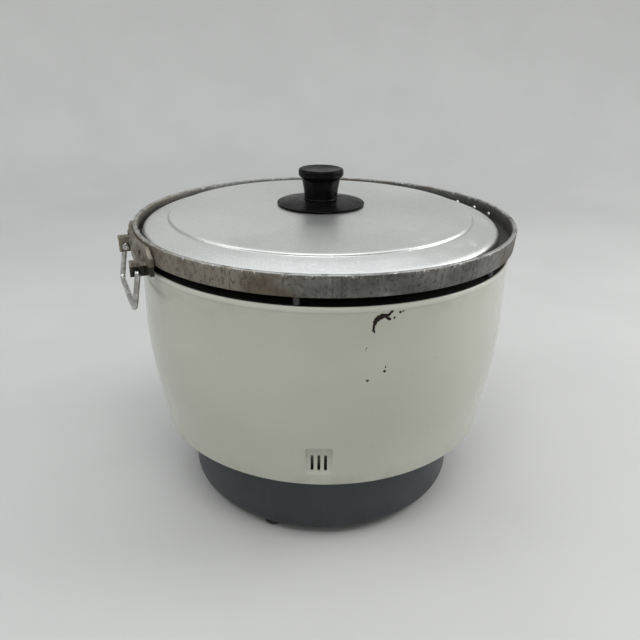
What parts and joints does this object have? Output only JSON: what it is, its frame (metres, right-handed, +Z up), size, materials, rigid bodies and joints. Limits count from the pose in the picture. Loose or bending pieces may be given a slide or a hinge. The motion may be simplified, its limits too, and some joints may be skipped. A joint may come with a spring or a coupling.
{
  "type": "gas rice cooker",
  "caption": "Large gas rice cooker: lift-out aluminium pot with wire bails and a loose knobbed lid, standing in an enamelled bowl shell on a painted base pan with a gas burner.",
  "frame": {"origin": "on the floor, on the axis of the pot and shell, under the middle of the object's box", "axes": "+Z up; the two bails hang on +X and -X, the object's longest extent; the control box with the lever and the gas inlet faces -Y; +Z is its shortest extent"},
  "size_m": [0.515, 0.48, 0.427],
  "materials": {
    "enamel": "glossy ivory enamel, chipped and scuffed near the lip",
    "slate_paint": "satin blue-grey paint",
    "sheet": "dull heat-tinted sheet steel",
    "rubber": "matt black",
    "bright_steel": "bright plated steel",
    "wire_steel": "drawn steel wire",
    "burner_iron": "sooted cast iron",
    "ceramic": "glazed ceramic insulator with a steel tip",
    "brass": "turned brass",
    "cast_aluminium": "weathered cast aluminium, vertical streaks, bright nicks on the top edge",
    "lid_aluminium": "satin spun aluminium with fine scratches",
    "bracket_alloy": "brownish weathered casting",
    "bakelite": "semi-gloss black phenolic",
    "black_plastic": "matt black",
    "red_plastic": "glossy red"
  },
  "bodies": {
    "cooker_body": {"outer_shell": "enamel", "heat_shield": "sheet", "drip_tray": "sheet", "base_pan": "slate_paint", "foot_1": "rubber", "foot_2": "rubber", "foot_3": "rubber", "foot_4": "rubber", "shell_screw_1": "bright_steel", "shell_screw_2": "bright_steel", "shell_screw_3": "bright_steel", "shell_screw_4": "bright_steel", "burner_bridge": "sheet", "burner_casting": "burner_iron", "burner_cap": "burner_iron", "spark_electrode": "ceramic", "thermocouple": "brass", "sensor_tube": "sheet", "sensor_spring": "bright_steel", "valve_body": "cast_aluminium", "injector": "brass", "hose_nozzle": "brass", "control_box": "slate_paint", "box_screw_1": "bright_steel", "box_screw_2": "bright_steel", "lever_pin": "bright_steel", "igniter": "black_plastic"},
    "sensor": {"sensor_head": "bright_steel"},
    "lever": {"cook_lever": "bakelite"},
    "stem": {"valve_stem": "bright_steel"},
    "button": {"spark_button": "red_plastic"},
    "pot": {"inner_pot": "cast_aluminium", "pot_rim": "cast_aluminium", "rim_peg_1": "cast_aluminium", "rim_peg_2": "cast_aluminium", "rim_peg_3": "cast_aluminium", "rim_peg_4": "cast_aluminium", "rim_peg_5": "cast_aluminium", "rim_peg_6": "cast_aluminium", "bracket_right": "bracket_alloy", "bracket_left": "bracket_alloy", "rivet_1": "bright_steel", "rivet_2": "bright_steel", "rivet_3": "bright_steel", "rivet_4": "bright_steel", "rivet_5": "bright_steel", "rivet_6": "bright_steel"},
    "right_bail": {"bail_right": "wire_steel"},
    "left_bail": {"bail_left": "wire_steel"},
    "lid_group": {"lid": "lid_aluminium", "knob_skirt": "bakelite", "knob": "bakelite", "knob_washer": "bright_steel", "knob_screw": "bright_steel"}
  },
  "joints": [
    {"name": "pot_lift", "type": "slide", "parent": "cooker_body", "child": "pot", "axis": [0, 0, 1], "range_m": [0, 0.26]},
    {"name": "lid_lift", "type": "slide", "parent": "pot", "child": "lid_group", "axis": [0, 0, 1], "range_m": [0, 0.15]},
    {"name": "right_bail_swing", "type": "hinge", "parent": "pot", "child": "right_bail", "pos_m": [0.2467, 0, 0.3376], "axis": [0, -1, 0], "range_deg": [-15, 95]},
    {"name": "left_bail_swing", "type": "hinge", "parent": "pot", "child": "left_bail", "pos_m": [-0.2467, 0, 0.3376], "axis": [0, 1, 0], "range_deg": [-15, 95]},
    {"name": "lever_press", "type": "hinge", "parent": "cooker_body", "child": "lever", "pos_m": [0, -0.211, 0.078], "axis": [1, 0, 0], "range_deg": [0, 22]},
    {"name": "stem_push", "type": "slide", "parent": "cooker_body", "child": "stem", "axis": [0, 1, 0], "range_m": [0, 0.00593]},
    {"name": "spark_push", "type": "slide", "parent": "cooker_body", "child": "button", "axis": [0, 1, 0], "range_m": [0, 0.005], "stiffness_N_per_m": 1200, "springref_m": -0.004},
    {"name": "sensor_press", "type": "slide", "parent": "cooker_body", "child": "sensor", "axis": [0, 0, -1], "range_m": [0, 0.006], "stiffness_N_per_m": 600, "springref_m": -0.004, "deforming": ["sensor_spring"]}
  ],
  "couplings": [
    {"joint": "stem_push", "follows": "lever_press", "m_per_rad": 0.01542}
  ]
}
